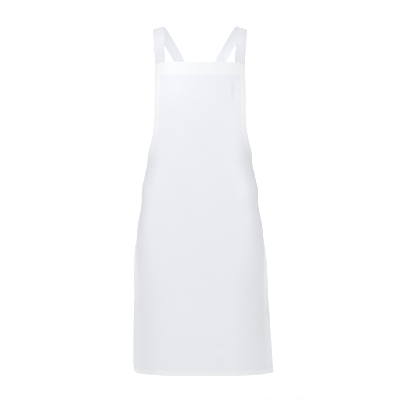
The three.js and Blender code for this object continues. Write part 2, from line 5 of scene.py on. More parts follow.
import bmesh
import bpy
import numpy as np
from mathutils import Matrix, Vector


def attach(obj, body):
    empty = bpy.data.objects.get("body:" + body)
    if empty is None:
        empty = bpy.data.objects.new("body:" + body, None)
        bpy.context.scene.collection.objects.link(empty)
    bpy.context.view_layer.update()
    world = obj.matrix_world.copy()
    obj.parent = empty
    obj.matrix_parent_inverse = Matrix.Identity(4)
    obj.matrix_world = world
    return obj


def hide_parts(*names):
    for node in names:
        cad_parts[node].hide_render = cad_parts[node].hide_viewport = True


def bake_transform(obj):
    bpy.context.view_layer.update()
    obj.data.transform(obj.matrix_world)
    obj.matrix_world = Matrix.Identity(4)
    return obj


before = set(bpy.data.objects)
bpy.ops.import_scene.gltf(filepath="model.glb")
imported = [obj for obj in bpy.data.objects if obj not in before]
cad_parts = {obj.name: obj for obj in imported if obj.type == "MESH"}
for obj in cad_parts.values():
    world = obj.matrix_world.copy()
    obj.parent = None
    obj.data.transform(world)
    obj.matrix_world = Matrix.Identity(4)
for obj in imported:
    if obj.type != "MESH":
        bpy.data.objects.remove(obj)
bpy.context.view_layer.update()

MM = 0.001
SIDES = ("left", "right")

# ---------------------------------------------------------------- the cut and the worn form
LENGTH = 1040  # bib top to hem
BIB_HALF = 156
BIB_STRAIGHT = 150  # bib side above the armhole
WAIST_HALF = 318
HEM_HALF = 312
ARMHOLE_DEPTH = 213
ARMHOLE_END = math.radians(82)  # how far the armhole's edge turns
ARMHOLE_POWER = 1.35  # above 1 the edge stays close to the bib for longer
HEM_SAG = 12  # how far the hem's corners hang below its middle
SIDE_HEM = 20
BOTTOM_HEM = 15
FACING_DEPTH = 45
WAIST_V = BIB_STRAIGHT + ARMHOLE_DEPTH
ROUND = WAIST_HALF - 60  # past this distance from the centre line the cloth is straight
BIB_TOP = -128  # Z of the bib's top edge
SWAY = 12  # how far the hem hangs towards +X
SWAY_FROM = -600  # Z where that starts
SWAY_POWER = 1.4
# Down the cut: distance below the bib's top, degrees turned at ROUND, how late it turns, Y in front
STATION = np.array([0, 130, 250, 350, 455, 550, 640, 800, 1060], float)
TURN = np.array([64, 61, 80, 143, 143, 102, 82, 72, 66], float)
TURN_POWER = np.array([1.7, 1.8, 1.9, 2.7, 3.7, 3.3, 2.6, 1.7, 1.6], float)
FRONT = np.array([-104, -126, -131, -132, -132, -133, -135, -139, -147], float)

# Straps: where each middle line goes over the shoulder, and which way its face looks there
STRAP_WIDTH = 38
STRAP = 1.6
STRAP_SEWN = 42  # length sewn to the bib
CROSS_HEIGHT = -222  # Z where the straps cross
CROSS_DEPTH = 107  # Y where the straps cross
CROSS_FLAT = 30  # each strap lies flat this far either way from the crossing
CROSS_SPREAD = 2.6  # half the distance between the two straps there
SHOULDER = [(138, -47, -75), (141.5, -24, -26), (143, 0, STRAP / 2), (128, 32, -12),
            (103, 64, -50), (71, 90, -104), (38, 104, -160)]
SHOULDER_UP = [(0.12, -0.83, 0.55), (0.2, -0.6, 0.8), (0.26, 0, 0.97), (0.24, 0.5, 0.82),
               (0.2, 0.85, 0.5), (0.1, 0.95, 0.28), (0.02, 0.99, 0.12)]

# Waist corner and hardware, along the strap from the anchor point
HEM_IN = -2.9  # the hem's inner face, from the cloth's front
GAP = 0.3
BAR_R = 1.8
TURN_R = BAR_R + GAP + STRAP / 2
CORNER_IN = 18  # the anchor point, in from the side edge
CORNER_DOWN = 17  # and down from the waist corner
TAB_SEWN = 30
TAB_FREE = 26  # where the loop leaves the cloth
SOCKET_BAR = 42
SOCKET_START = 49
BUCKLE_THICK = 11
PLUG_BAR = 102
SLIDER_AT = 176
TWIST_FROM = 218  # the strap is straight up to here
TAB_OUTER = HEM_IN - GAP - STRAP / 2
TAB_INNER = TAB_OUTER - STRAP - GAP
BAR_N = (TAB_OUTER + TAB_INNER) / 2
STRAP_N = BAR_N + TURN_R
RETURN_BAR_N = STRAP_N - STRAP - 2 * GAP - BAR_R - STRAP / 2

# Real cloth, thread and grip ribs
THICK = 0.5
FOLD_R = 0.8  # radius of a folded edge
DOUBLE_LIFT = 0.45  # how far a layer behind lifts the cloth's face
BACK_LIFT = -2 * FOLD_R  # a hem's inner layer, from the cloth's front
STITCH_PITCH = 3.4
STITCH_LENGTH = 2.7
THREAD_R = 0.26
EDGE_STITCH = 3.2  # a strap's stitching, in from its edge
RIB_R = 0.75
RIB_HALF = 13
RIB_PITCH = 3.2
RIBS = 4
FIRST_RIB = 5  # from the socket's end
EDGE_ROUND = 0.55  # of moulded parts


def unit(v):
    return v / np.linalg.norm(v, axis=-1, keepdims=True)


def between(values, at):
    """A value that runs smoothly through its stations without overshooting them."""
    step = np.diff(STATION)
    rise = np.diff(values) / step
    both = rise[:-1] * rise[1:]
    total = np.where(both > 0, rise[:-1] + rise[1:], 1)
    slope = np.concatenate([rise[:1], np.where(both > 0, 2 * both / total, 0), rise[-1:]])
    x = np.clip(at, STATION[0], STATION[-1])
    i = np.clip(np.searchsorted(STATION, x, side="left") - 1, 0, len(step) - 1)
    t = (x - STATION[i]) / step[i]
    start = (2 * t**3 - 3 * t**2 + 1) * values[i] + (t**3 - 2 * t**2 + t) * step[i] * slope[i]
    end = (3 * t**2 - 2 * t**3) * values[i + 1] + (t**3 - t**2) * step[i] * slope[i + 1]
    return start + end


DOWN = np.linspace(-20, LENGTH + 40, 1061)
DROP_STEPS = np.sqrt(np.diff(DOWN) ** 2 - np.diff(between(FRONT, DOWN)) ** 2)
DROP = np.concatenate([[0], np.cumsum(DROP_STEPS)])
DROP -= np.interp(0, DOWN, DROP)
HEM_Z = BIB_TOP - np.interp(LENGTH, DOWN, DROP)


def form(u, v):
    """Points of the smooth worn form: u out from the centre line, v down from the bib's top."""
    u, v = np.broadcast_arrays(np.asarray(u, float), np.asarray(v, float))
    turn = np.radians(between(TURN, v))
    power = between(TURN_POWER, v)
    reach = np.minimum(np.abs(u), ROUND)
    steps = 48
    du = reach / steps
    middle = (np.arange(steps) + 0.5) * du[..., None]
    heading = turn[..., None] * (middle / ROUND) ** power[..., None]
    straight = np.abs(u) - reach
    x = straight * np.cos(turn) + (np.cos(heading) * du[..., None]).sum(-1)
    y = between(FRONT, v) + straight * np.sin(turn) + (np.sin(heading) * du[..., None]).sum(-1)
    sag = HEM_SAG * (u / HEM_HALF) ** 2 * np.maximum(0, v / LENGTH) ** 3
    z = BIB_TOP - np.interp(v, DOWN, DROP) - sag
    sway = SWAY * np.maximum(0, (SWAY_FROM - z) / (SWAY_FROM - HEM_Z)) ** SWAY_POWER
    return np.stack([np.sign(u) * x + sway, y, z], -1)


def form_normal(u, v):
    e = 0.5
    across = form(u + e, v) - form(u - e, v)
    down = form(u, v + e) - form(u, v - e)
    return unit(np.cross(down, across))


def bump(x, middle, width):
    return np.exp(-(((x - middle) / width) ** 2))


def smooth(x, low, high):
    t = np.clip((x - low) / (high - low), 0, 1)
    return t * t * (3 - 2 * t)


def ripple(u, v):
    """Soft folds of the worn cloth, outwards from the smooth form."""
    wide = np.abs(u)
    skirt = smooth(v, 430, 1040)
    folds = 2.0 * skirt * np.sin(u / 46 + 0.9 + v / 900) * smooth(wide, 60, 240)
    folds += 1.3 * smooth(v, 300, 700) * np.sin(u / 83 - 0.5 + v / 500)
    folds += 1.3 * np.sin(u / 61 + 0.4) * smooth(v, 60, 300)
    # slack beside the strap on the bib's right, and a lighter one on its left
    folds -= 3.6 * bump(u, 117, 10) * bump(v, 96, 30)
    folds += 1.8 * bump(u, 101, 9) * bump(v, 100, 36)
    folds -= 1.2 * bump(u, -121, 11) * bump(v, 84, 40)
    # pull from each strap towards the middle of the chest
    for side in (-1, 1):
        along = (side * u - 120) * 0.55 + (v - 30) * 0.83
        across = (side * u - 120) * 0.83 - (v - 30) * 0.55
        folds += 0.9 * bump(across, -34, 13) * smooth(along, 0, 90) * (1 - smooth(along, 190, 330))
        # pull from the waist corner into the skirt and across the belly
        run = (WAIST_HALF - 30 - side * u)
        fade = smooth(run, 22, 80) * (1 - smooth(run, 150, 290))
        folds += 1.5 * bump(v - 0.32 * run, 402, 18) * fade
        folds -= 1.0 * bump(v - 0.5 * run, 440, 20) * fade
        folds += 1.4 * bump(v + 0.12 * run, 372, 11) * fade
    # slack low on the skirt, right of the middle
    lean = v - 0.28 * (u - 70)
    patch = bump(u, 66, 42)
    folds += 3.0 * patch * bump(lean, 930, 10) - 2.6 * patch * bump(lean, 956, 12)
    folds += 1.5 * bump(u, 118, 36) * bump(v + 0.1 * u, 905, 14)
    folds -= 1.2 * bump(u, -150, 40) * bump(v - 0.2 * u, 905, 22)
    # unevenness of the coated cloth itself
    folds += 0.30 * np.sin(u / 19 + 1.7 * np.sin(v / 41)) * np.sin(v / 27 + 1.3 * np.sin(u / 33))
    folds += 0.16 * np.sin(u / 8.3 + v / 21) * np.sin(v / 11.7 - u / 37)
    at_corner = smooth(wide, 230, 262) * smooth(v, 330, 352) * (1 - smooth(v, 430, 470))
    at_strap = smooth(wide, 96, 114) * (1 - smooth(v, 46, 66))
    return folds * (1 - at_corner) * (1 - 0.85 * at_strap)


def cloth_point(u, v, lift=0.0):
    """A point on the apron's cloth, lifted towards the front."""
    u, v = np.broadcast_arrays(np.asarray(u, float), np.asarray(v, float))
    turned_up = smooth(-u, 276, 314) * smooth(v, 1002, 1042)
    raised = turned_up[..., None] * np.array([4.0, 1.0, 3.5])
    return form(u, v) + form_normal(u, v) * (ripple(u, v) + lift)[..., None] + raised


# ---------------------------------------------------------------- mesh helpers
def make_piece(name, points, faces, material, body="apron", uv=None, smooth_faces=True):
    """A mesh object from points in millimetres."""
    mesh = bpy.data.meshes.new(name)
    mesh.from_pydata([tuple(p) for p in np.asarray(points, float) * MM], [], faces)
    if uv is not None:
        layer = mesh.uv_layers.new(name="cut")
        corner = np.empty(len(mesh.loops), np.int32)
        mesh.loops.foreach_get("vertex_index", corner)
        layer.data.foreach_set("uv", (np.asarray(uv, float)[corner] * MM).astype(np.float32).ravel())
    mesh.validate()
    piece = bpy.data.objects.new(name, mesh)
    bpy.context.collection.objects.link(piece)
    mesh.materials.append(material)
    mesh.polygons.foreach_set("use_smooth", [smooth_faces] * len(mesh.polygons))
    if body:
        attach(piece, body)
    return piece


def grid_faces(rows, cols, start=0, wrap=False):
    faces = []
    last = cols if wrap else cols - 1
    for i in range(rows - 1):
        for j in range(last):
            a, b = start + i * cols + j, start + i * cols + (j + 1) % cols
            faces.append((a, b, b + cols, a + cols))
    return faces


def apply_modifiers(piece):
    bpy.context.view_layer.update()
    graph = bpy.context.evaluated_depsgraph_get()
    mesh = bpy.data.meshes.new_from_object(piece.evaluated_get(graph))
    piece.modifiers.clear()
    piece.data = mesh


def facing_out(piece):
    """Turns a closed mesh's faces outwards."""
    shape = bmesh.new()
    shape.from_mesh(piece.data)
    bmesh.ops.recalc_face_normals(shape, faces=shape.faces)
    shape.to_mesh(piece.data)
    shape.free()


def thicken(piece, thickness, offset=-1.0):
    solid = piece.modifiers.new("thickness", "SOLIDIFY")
    solid.thickness = thickness * MM
    solid.offset = offset
    apply_modifiers(piece)


# ---------------------------------------------------------------- materials
class Shader:
    """A Principled material with short ways to add nodes."""

    def __init__(self, name, roughness, **sockets):
        self.material = bpy.data.materials.new(name)
        self.material.use_nodes = True
        self.tree = self.material.node_tree
        self.surface = self.tree.nodes["Principled BSDF"]
        self.surface.inputs["Roughness"].default_value = roughness
        for socket, value in sockets.items():
            self.surface.inputs[socket.replace("_", " ")].default_value = value

    def node(self, kind, **values):
        node = self.tree.nodes.new(kind)
        for key, value in values.items():
            if key in node.inputs:
                node.inputs[key].default_value = value
            else:
                setattr(node, key, value)
        return node

    def link(self, out, into):
        self.tree.links.new(out, into)

    def position(self, scale, uv=False):
        where = self.node("ShaderNodeTexCoord")
        mapping = self.node("ShaderNodeMapping")
        mapping.inputs["Scale"].default_value = scale
        self.link(where.outputs["UV" if uv else "Object"], mapping.inputs["Vector"])
        return mapping.outputs["Vector"]

    def noise(self, scale, detail=3.0, stretch=(1, 1, 1), uv=False):
        texture = self.node("ShaderNodeTexNoise", Scale=scale, Detail=detail)
        self.link(self.position(stretch, uv), texture.inputs["Vector"])
        return texture.outputs["Fac"]

    def waves(self, scale, direction, uv=True, distortion=0.4):
        texture = self.node("ShaderNodeTexWave", Scale=scale, Distortion=distortion)
        texture.bands_direction = direction
        self.link(self.position((1, 1, 1), uv), texture.inputs["Vector"])
        return texture.outputs["Fac"]

    def math(self, operation, a, b):
        node = self.node("ShaderNodeMath", operation=operation)
        for socket, value in zip(node.inputs, (a, b)):
            if isinstance(value, (int, float)):
                socket.default_value = value
            else:
                self.link(value, socket)
        return node.outputs[0]

    def spread(self, value, low, high):
        node = self.node("ShaderNodeMapRange")
        node.inputs["To Min"].default_value = low
        node.inputs["To Max"].default_value = high
        self.link(value, node.inputs["Value"])
        return node.outputs["Result"]

    def mix(self, factor, a, b):
        node = self.node("ShaderNodeMix", data_type="RGBA")
        self.link(factor, node.inputs["Factor"])
        for socket, colour in ((node.inputs[6], a), (node.inputs[7], b)):
            if isinstance(colour, tuple):
                socket.default_value = (*colour, 1)
            else:
                self.link(colour, socket)
        return node.outputs[2]

    def colour(self, value):
        self.link(value, self.surface.inputs["Base Color"])

    def rough(self, value, low, high):
        self.link(self.spread(value, low, high), self.surface.inputs["Roughness"])

    def bumps(self, layers):
        """Stacks bumps, each a height, a strength and a distance in millimetres."""
        normal = None
        for height, strength, distance in layers:
            node = self.node("ShaderNodeBump", Strength=strength, Distance=distance * MM)
            self.link(height, node.inputs["Height"])
            if normal is not None:
                self.link(normal, node.inputs["Normal"])
            normal = node.outputs["Normal"]
        self.link(normal, self.surface.inputs["Normal"])


SINGLE = (0.875, 0.893, 0.932)
DOUBLE = (0.93, 0.94, 0.96)


def cloth_material():
    """White coated cloth: a closed satin film over a fine weave, brighter where it is doubled. On the
    straps the doubling value is set low, which darkens them as painted shade.
    """
    s = Shader("coated_cloth", 0.42, Coat_Weight=0.12, Coat_Roughness=0.32, IOR=1.46)
    # how doubled the cloth is, and on the straps a lower value that darkens them as painted shade
    layers = s.node("ShaderNodeAttribute", attribute_name="layers").outputs["Fac"]
    cloud = s.noise(9, 4)
    fleck = s.noise(240, 2)
    single = s.mix(cloud, tuple(c * 0.985 for c in SINGLE), tuple(min(1, c * 1.012) for c in SINGLE))
    double = s.mix(cloud, tuple(c * 0.99 for c in DOUBLE), DOUBLE)
    base = s.mix(layers, single, double)
    s.colour(s.mix(s.spread(fleck, 0, 0.10), base, (0.80, 0.82, 0.86)))
    s.rough(s.noise(34, 5), 0.34, 0.50)
    weave = s.math("MULTIPLY", s.waves(420, "X"), s.waves(420, "Y"))
    s.bumps([(s.noise(26, 3), 0.10, 0.8), (weave, 0.16, 0.06), (s.noise(900, 2), 0.12, 0.04)])
    return s.material


def webbing_material():
    """Woven tape: ribs across it, and a finer twill along them. Its colour is darker in the grooves
    between the ribs, which is painted shade, and varies at random along the tape.
    """
    s = Shader("webbing", 0.82, Sheen_Weight=0.2, Sheen_Roughness=0.4)
    ribs = s.waves(190, "Y", distortion=0.8)
    yarn = s.waves(330, "DIAGONAL", distortion=1.2)
    # colour follows the ribs' height: darker in the grooves is painted shade, and the noise is the
    # tape's own uneven tone
    groove_shade_and_tone = s.math("MULTIPLY", ribs, s.spread(s.noise(60, 3), 0.7, 1.0))
    s.colour(s.mix(groove_shade_and_tone, (0.66, 0.67, 0.69), (0.86, 0.87, 0.88)))
    s.rough(s.noise(120, 2), 0.74, 0.92)
    s.bumps([(ribs, 0.6, 0.35), (yarn, 0.4, 0.18), (s.noise(700, 2), 0.3, 0.08)])
    return s.material


def plastic_material():
    """Moulded acetal: faint flow marks, an eggshell surface and fine scratches."""
    s = Shader("buckle_plastic", 0.34, IOR=1.48)
    flow = s.noise(30, 5, stretch=(1, 1, 0.35))
    s.colour(s.mix(flow, (0.70, 0.71, 0.73), (0.78, 0.79, 0.80)))
    s.rough(s.noise(160, 4), 0.26, 0.46)
    scratches = s.noise(420, 3, stretch=(1, 0.08, 1))
    s.bumps([(s.noise(1500, 2), 0.18, 0.04), (scratches, 0.10, 0.03)])
    return s.material


def thread_material():
    """Twisted polyester sewing thread, darker in the grooves of its twist as painted shade."""
    s = Shader("thread", 0.6, Sheen_Weight=0.15)
    twist = s.waves(1500, "DIAGONAL", uv=False, distortion=0.2)
    # colour follows the twist's height: darker in its grooves is painted shade
    s.colour(s.mix(twist, (0.80, 0.80, 0.80), (0.93, 0.93, 0.92)))
    s.rough(s.noise(500, 2), 0.5, 0.7)
    s.bumps([(twist, 0.5, 0.06)])
    return s.material


CLOTH = cloth_material()
WEBBING = webbing_material()
PLASTIC = plastic_material()
THREAD = thread_material()


# Writes the cloth's layers attribute: how doubled it is, and on the straps a lower value that darkens
# them as painted shade.
def set_layers_and_painted_shade(piece, values):
    attribute = piece.data.attributes.new("layers", "FLOAT", "POINT")
    attribute.data.foreach_set("value", np.asarray(values, np.float32))


# ---------------------------------------------------------------- the cut's outline
def armhole_edge(a):
    """The armhole's edge in the flat, where it has turned by the angle a."""
    reach = (1 - np.cos(a)) / (1 - math.cos(ARMHOLE_END))
    u = BIB_HALF + (WAIST_HALF - BIB_HALF) * reach**ARMHOLE_POWER
    v = BIB_STRAIGHT + ARMHOLE_DEPTH * np.sin(a) / math.sin(ARMHOLE_END)
    return np.stack([u, v], -1)


def side_half(v):
    """Half the skirt's width in the flat."""
    return WAIST_HALF + (HEM_HALF - WAIST_HALF) * (v - WAIST_V) / (LENGTH - WAIST_V)


def hem_curve(a):
    """The hem's inner line along the armhole."""
    step = armhole_edge(a + 0.01) - armhole_edge(max(0.0, a - 0.01))
    return armhole_edge(a) + SIDE_HEM * unit(np.array([-step[1], step[0]]))


MITRE_SPACE = 4  # from the hems' meeting point to the next row below


def mitre_angle():
    """Where along the armhole the hem's inner line meets the side hem's."""
    angles = np.linspace(ARMHOLE_END / 2, ARMHOLE_END, 200)
    reached = np.array([hem_curve(a)[0] for a in angles])
    return float(np.interp(WAIST_HALF - SIDE_HEM, reached, angles))


HEM_SHARES = np.array([0.35, 0.6, 0.8, 1.0])  # rows in the bottom hem


def outline_rows():
    """For each row down one side: its edge point, the way to the hem's inner line, the middle's v."""
    rows = []
    for v in np.linspace(0, BIB_STRAIGHT, 26)[:-1]:
        rows.append(((BIB_HALF, v), (-1, 0), v))
    mitre = mitre_angle()
    for a in np.linspace(0, ARMHOLE_END, 40):
        edge = armhole_edge(a)
        inward = (hem_curve(a * mitre / ARMHOLE_END) - edge) / SIDE_HEM
        rows.append((tuple(edge), tuple(inward), BIB_STRAIGHT + ARMHOLE_DEPTH * a / ARMHOLE_END))
    below = hem_curve(mitre)[1] + MITRE_SPACE
    skirt = np.linspace(below, LENGTH - BOTTOM_HEM, 110)
    hem = LENGTH - BOTTOM_HEM + HEM_SHARES * BOTTOM_HEM
    for v in np.concatenate([skirt, hem]):
        rows.append(((side_half(v), v), (-1, 0), v))
    return rows


ROWS = outline_rows()
EDGE = np.array([r[0] for r in ROWS], float)
INWARD = np.array([r[1] for r in ROWS], float)
MIDDLE = np.array([r[2] for r in ROWS], float)
HEM_LINE = EDGE + INWARD * SIDE_HEM
LAST_SIDE = len(ROWS) - len(HEM_SHARES)  # rows from here on belong to the bottom hem

# Columns: shares of the way to the hem's inner line, then distances from the edge
SHARES = np.concatenate([np.linspace(0, 0.93, 62), [0.95, 0.967, 0.98, 0.99, 0.996]])
FROM_EDGE = np.array([20, 19, 18.3, 17.6, 16.6, 14, 10, 6, 3, 1.2, 0.4, 0])
SEAM_AT = 18  # distance of the hem's stitching from the edge


def flat_grid():
    """The front's flat points for u >= 0, and each point's distance from the side edge."""
    share = SHARES[None, :]
    u = HEM_LINE[:, :1] * share
    v = MIDDLE[:, None] + (HEM_LINE[:, 1:] - MIDDLE[:, None]) * share**2
    inner = np.stack([u, v], -1)
    strip = EDGE[:, None, :] + INWARD[:, None, :] * FROM_EDGE[None, :, None]
    distance = np.concatenate([SIDE_HEM + HEM_LINE[:, :1] * (1 - share) * 0.9,
                               np.broadcast_to(FROM_EDGE, (len(ROWS), len(FROM_EDGE)))], 1)
    return np.concatenate([inner, strip], 1), distance


def seam_relief(distance):
    """Lift of doubled cloth over single cloth beside a line of stitches."""
    raised = DOUBLE_LIFT * (1 - smooth(distance, SEAM_AT - 0.2, SEAM_AT + 2.2))
    return raised - 0.42 * bump(distance, SEAM_AT, 0.9)


def layers_and_lift(u, v, distance):
    """How doubled the cloth is at a point, and how far that lifts its face."""
    doubled = 1 - smooth(distance, SEAM_AT + 1, SEAM_AT + 3)
    top = 1 - smooth(v, FACING_DEPTH - 1, FACING_DEPTH + 1)
    low = smooth(v, LENGTH - BOTTOM_HEM - 1, LENGTH - BOTTOM_HEM + 1)
    lift = seam_relief(distance)
    lift = np.maximum(lift, seam_relief(v - (FACING_DEPTH - 2) + SEAM_AT))
    lift = np.maximum(lift, seam_relief((LENGTH - v) - (BOTTOM_HEM - 2) + SEAM_AT))
    return np.maximum(np.maximum(doubled, top), low), lift


def fold_profile(steps=7):
    """Round a folded edge: distance beyond the edge and lift, from the front face to the back."""
    a = np.linspace(0, math.pi, steps)
    return FOLD_R * np.sin(a), -FOLD_R * (1 - np.cos(a))


def make_cloth():
    """The bib and skirt in one cloth, with its hems and the bib's facing folded behind it."""
    flat, distance = flat_grid()
    rows, cols = flat.shape[:2]
    points, uv, layers, faces = [], [], [], []

    def add_grid(u, v, lift, doubled, reverse):
        start = sum(len(p) for p in points)
        n, m = u.shape
        points.append(cloth_point(u, v, lift).reshape(-1, 3))
        uv.append(np.stack([u, v], -1).reshape(-1, 2))
        layers.append(np.broadcast_to(doubled, u.shape).reshape(-1))
        new = grid_faces(n, m, start)
        faces.extend([f[::-1] for f in new] if reverse else new)

    for sign in (1, -1):
        u, v = flat[..., 0], flat[..., 1]
        doubled, lift = layers_and_lift(u, v, distance)
        add_grid(sign * u, v, lift, doubled, sign > 0)
        # the side edge turns round and lies behind
        out, back = fold_profile()
        behind = np.array([3, 8, 14, 18, SIDE_HEM])
        beyond = np.concatenate([-out, behind])
        lifts = np.concatenate([back + DOUBLE_LIFT, np.full(len(behind), BACK_LIFT)])
        side = slice(0, LAST_SIDE + 1)
        strip = EDGE[side, None, :] + INWARD[side, None, :] * beyond[None, :, None]
        add_grid(sign * strip[..., 0], strip[..., 1], lifts, 1.0, sign > 0)
        # the bottom edge turns round over it
        under = np.array([3, 7, 12, BOTTOM_HEM])
        low = np.concatenate([LENGTH + out, LENGTH - under])
        low_lift = np.concatenate([back + DOUBLE_LIFT, np.full(len(under), BACK_LIFT)])
        across = np.broadcast_to(flat[-1, :, 0], (len(low), cols))
        down = np.broadcast_to(low[:, None], (len(low), cols))
        add_grid(sign * across, down, low_lift[:, None], 1.0, sign > 0)
        # the top edge turns round, between the side hems
        inner = flat[0, : len(SHARES) + 1, 0]
        facing = np.array([3, 12, 24, 36, 43, FACING_DEPTH])
        top = np.concatenate([-out, facing])
        top_lift = np.concatenate([back + DOUBLE_LIFT, np.full(len(facing), BACK_LIFT)])
        across = np.broadcast_to(inner, (len(top), len(inner)))
        down = np.broadcast_to(top[:, None], (len(top), len(inner)))
        add_grid(sign * across, down, top_lift[:, None], 1.0, sign < 0)
    piece = make_piece("apron_cloth", np.concatenate(points), faces, CLOTH,
                       uv=np.concatenate(uv))
    set_layers_and_painted_shade(piece, np.concatenate(layers))
    shape = bmesh.new()
    shape.from_mesh(piece.data)
    bmesh.ops.remove_doubles(shape, verts=shape.verts, dist=0.02 * MM)
    shape.to_mesh(piece.data)
    shape.free()
    thicken(piece, THICK)
    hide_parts("apron_panel", "bib_top_facing", "bottom_hem",
                *[f"{s}_{k}_hem" for s in SIDES for k in ("armhole", "side")])
    return piece


# ---------------------------------------------------------------- stitches
RING = 6
CAPSULE = [(-0.5, 0.25), (-0.34, 1.0), (0.34, 1.0), (0.5, 0.25)]  # share along, share of radius
SUNK = 0.1  # how deep a strap's threads lie in it


def joined(*lists):
    return [np.concatenate(parts) for parts in lists]


def make_stitches(name, starts, ends, normals, body="apron", radius=THREAD_R,
                  material=THREAD, slot="thread"):
    """Small capsules from start to end, lying on a face: threads, or a moulding's ribs."""
    along = unit(ends - starts)
    length = np.linalg.norm(ends - starts, axis=1)
    up = unit(normals - along * (normals * along).sum(1, keepdims=True))
    across = np.cross(along, up)
    middle = (starts + ends) / 2
    angle = np.arange(RING) * 2 * math.pi / RING
    points, faces = [], []
    for t, r in CAPSULE:
        ring = (middle + along * (t * length)[:, None])[:, None, :]
        ring = ring + radius * r * (across[:, None, :] * np.cos(angle)[None, :, None]
                                    + up[:, None, :] * np.sin(angle)[None, :, None])
        points.append(ring)
    points = np.stack(points, 1).reshape(-1, 3)
    per = RING * len(CAPSULE)
    for k in range(len(starts)):
        faces += grid_faces(len(CAPSULE), RING, k * per, wrap=True)
        faces.append(tuple(k * per + i for i in range(RING)))
        faces.append(tuple(k * per + per - 1 - i for i in range(RING)))
    piece = make_piece(name, points, faces, material, body)
    facing_out(piece)
    return piece


def stitch_ends(line):
    """Start and end of each stitch along a dense line of points, with whatever each carries
    beyond its first three numbers."""
    step = np.linalg.norm(np.diff(line[:, :3], axis=0), axis=1)
    run = np.concatenate([[0], np.cumsum(step)])
    count = max(1, int(run[-1] // STITCH_PITCH))
    first = (np.arange(count) + 0.5) * run[-1] / count - STITCH_LENGTH / 2

    def at(distance):
        return np.stack([np.interp(distance, run, column) for column in line.T], -1)

    return at(first), at(first + STITCH_LENGTH)


def cloth_stitches(name, lines, lifts):
    """Rows of stitches along flat lines on the cloth, on each of the lifts given."""
    starts, ends, normals = [], [], []
    for line in lines:
        a, b = stitch_ends(np.asarray(line, float))
        middle = (a + b) / 2
        for lift, side in lifts:
            starts.append(cloth_point(a[:, 0], a[:, 1], lift))
            ends.append(cloth_point(b[:, 0], b[:, 1], lift))
            normals.append(side * form_normal(middle[:, 0], middle[:, 1]))
    return make_stitches(name, *joined(starts, ends, normals))


FRONT_THREAD = 0.14
BACK_THREAD = BACK_LIFT - 0.1
BOTH_FACES = ((FRONT_THREAD, 1), (BACK_THREAD, -1))


def mirror_line(line):
    return [line, line * np.array([-1, 1])]


def make_hem_stitching():
    """Rows through the armhole, side and bottom hems and the bib's facing, on both faces."""
    seam = EDGE + INWARD * SEAM_AT
    corner = int(np.argmax(EDGE[:, 0] >= WAIST_HALF - 0.01))
    armhole = seam[: corner + 1]
    side = seam[corner:]
    cloth_stitches("armhole_stitching", mirror_line(armhole), BOTH_FACES)
    cloth_stitches("side_stitching", mirror_line(side), BOTH_FACES)
    u = np.linspace(-HEM_HALF + 4, HEM_HALF - 4, 200)
    v = np.full_like(u, LENGTH - BOTTOM_HEM + 2)
    cloth_stitches("bottom_stitching", [np.stack([u, v], -1)], BOTH_FACES)
    u = np.linspace(-BIB_HALF + 6, BIB_HALF - 6, 160)
    rows = [np.stack([u, np.full_like(u, d)], -1) for d in (4, FACING_DEPTH - 2)]
    cloth_stitches("facing_stitching", rows, BOTH_FACES)


def box_lines(width, height):
    """A box and its diagonals, as dense flat lines about the origin."""
    w, h = width / 2, height / 2
    corners = [(-w, -h), (w, -h), (w, h), (-w, h), (-w, -h)]
    pairs = list(zip(corners, corners[1:])) + [((-w, -h), (w, h)), ((w, -h), (-w, h))]
    t = np.linspace(0, 1, 30)[:, None]
    return [np.array(a) + (np.array(b) - np.array(a)) * t for a, b in pairs]


# ---------------------------------------------------------------- straps
def curve_points(points, per):
    """A centripetal Catmull-Rom curve through the points, with its tangents."""
    p = np.asarray(points, float)
    p = np.concatenate([[2 * p[0] - p[1]], p, [2 * p[-1] - p[-2]]])
    out, tangents = [], []
    for i in range(len(p) - 3):
        p0, p1, p2, p3 = p[i:i + 4]
        d0, d1, d2 = [math.sqrt(np.linalg.norm(b - a)) for a, b in ((p0, p1), (p1, p2), (p2, p3))]
        m1 = ((p1 - p0) / d0 - (p2 - p0) / (d0 + d1) + (p2 - p1) / d1) * d1
        m2 = ((p2 - p1) / d1 - (p3 - p1) / (d1 + d2) + (p3 - p2) / d2) * d1
        c2 = -3 * p1 + 3 * p2 - 2 * m1 - m2
        c3 = 2 * p1 - 2 * p2 + m1 + m2
        last = i == len(p) - 4
        for t in np.arange(per + last) / per:
            out.append(p1 + m1 * t + c2 * t**2 + c3 * t**3)
            tangents.append(m1 + 2 * c2 * t + 3 * c3 * t**2)
    return np.array(out), unit(np.array(tangents))


ANCHOR = form(WAIST_HALF - CORNER_IN, WAIST_V + CORNER_DOWN)
OUTWARD = form_normal(WAIST_HALF - CORNER_IN, WAIST_V + CORNER_DOWN)
CROSSING = np.array([0, CROSS_DEPTH, CROSS_HEIGHT], float)
STRAP_LINE = CROSSING - ANCHOR
STRAP_LINE = unit(STRAP_LINE - OUTWARD * (STRAP_LINE @ OUTWARD))
SIDEWAYS = unit(np.cross(STRAP_LINE, OUTWARD))
FLIP = np.array([-1, 1, 1])
TO_SIDE = {"left": FLIP, "right": np.ones(3)}  # turns the right side's points into each side's


def buckle(w, s, n):
    """A point in the right buckle's frame: across, along the strap and outwards."""
    w, s, n = np.broadcast_arrays(*[np.asarray(x, float) for x in (w, s, n)])
    return ANCHOR + w[..., None] * SIDEWAYS + s[..., None] * STRAP_LINE + n[..., None] * OUTWARD


STAND_OFF = 0.4  # between the flat strap's edges and the curved bib
LEAD_IN = 15  # the path runs this far past TWIST_FROM, so that it meets the straight stretch
PER_SPAN = 24  # points between two given ones


